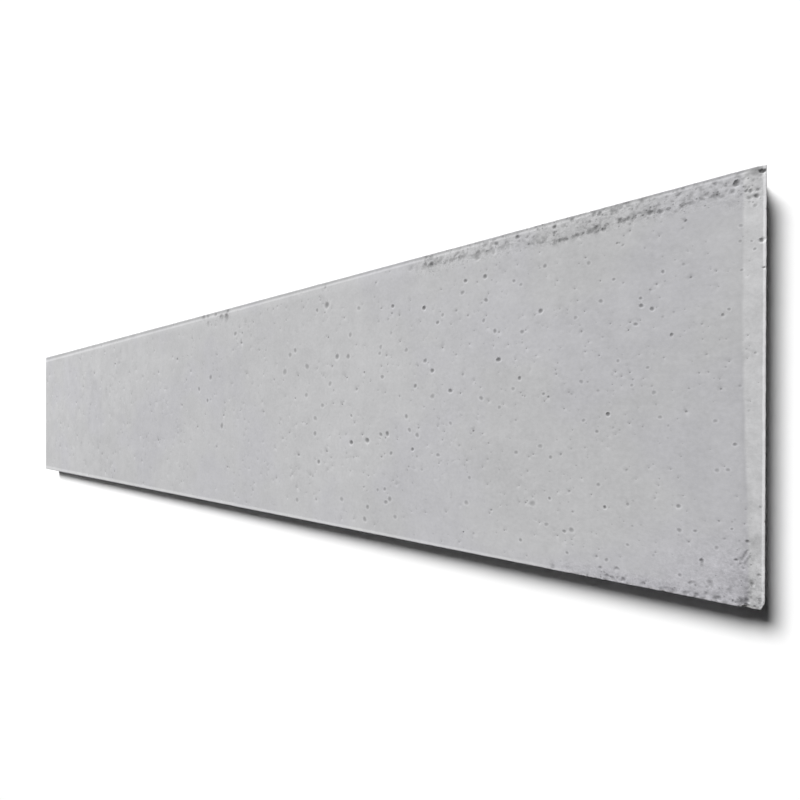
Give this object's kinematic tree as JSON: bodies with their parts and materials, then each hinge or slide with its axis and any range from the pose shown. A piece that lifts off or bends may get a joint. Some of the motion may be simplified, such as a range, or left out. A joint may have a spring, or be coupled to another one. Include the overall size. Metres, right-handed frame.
{
  "type": "precast concrete fence panel",
  "caption": "Smooth solid concrete slab panel with tapered ends that slide into grooved posts, stacked edge on edge to fill a fence bay.",
  "frame": {"origin": "centre of the back face, on the floor the panel lies on", "axes": "+X along the panel towards the end with the knocked-off corner, +Y across it towards the edge that is uppermost in a fence, +Z out of the smooth mould face"},
  "size_m": [2, 0.4, 0.04],
  "materials": {
    "concrete": "smooth cast grey concrete with small air holes, matt"
  },
  "bodies": {
    "root": {"fence_panel": "concrete"}
  },
  "joints": []
}
